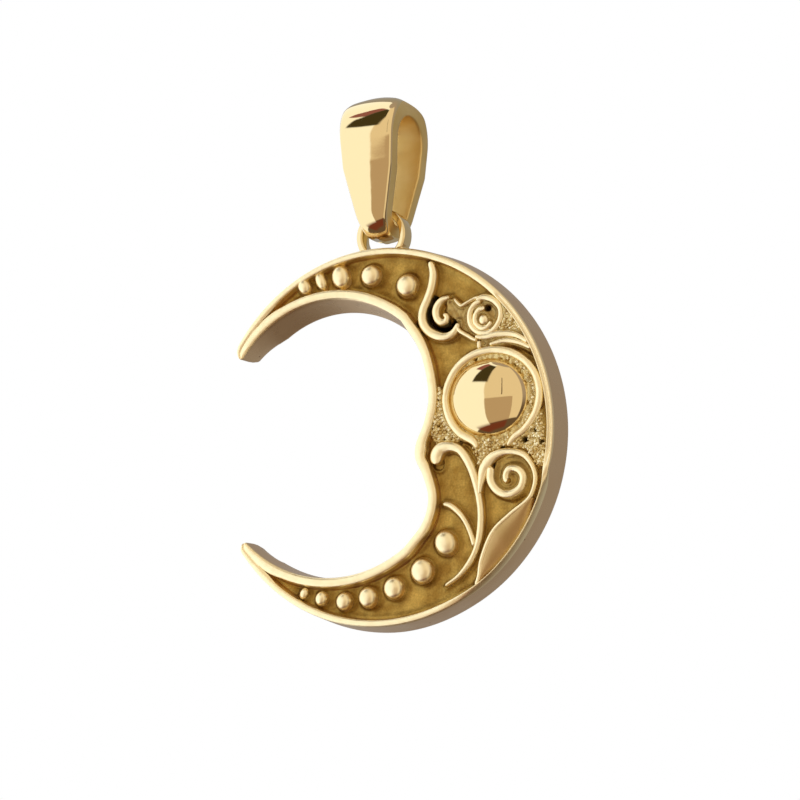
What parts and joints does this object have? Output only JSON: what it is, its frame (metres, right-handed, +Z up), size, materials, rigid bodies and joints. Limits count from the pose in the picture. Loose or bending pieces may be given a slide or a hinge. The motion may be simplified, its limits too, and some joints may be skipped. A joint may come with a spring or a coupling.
{
  "type": "crescent moon pendant",
  "caption": "Cast gold crescent moon pendant with a beaded and scrolled relief, a polished dome, a soldered loop and a tapered bail.",
  "frame": {"origin": "inside top of the bail, where the neck chain bears, in the middle of its width and depth", "axes": "+Z up, the pendant hangs down from the origin; the relief faces -Y; the moon's mouth opens to -X"},
  "size_m": [0.0224, 0.0054, 0.034],
  "materials": {
    "cast_gold": "satin",
    "polished_gold": "polished"
  },
  "bodies": {
    "bail": {"bail": "polished_gold"},
    "crescent": {"crescent": "cast_gold"}
  },
  "joints": [
    {"name": "swing", "type": "hinge", "parent": "bail", "child": "crescent", "pos_m": [0, 0, -0.00617], "axis": [1, 0, 0], "range_deg": [-55, 55]}
  ]
}
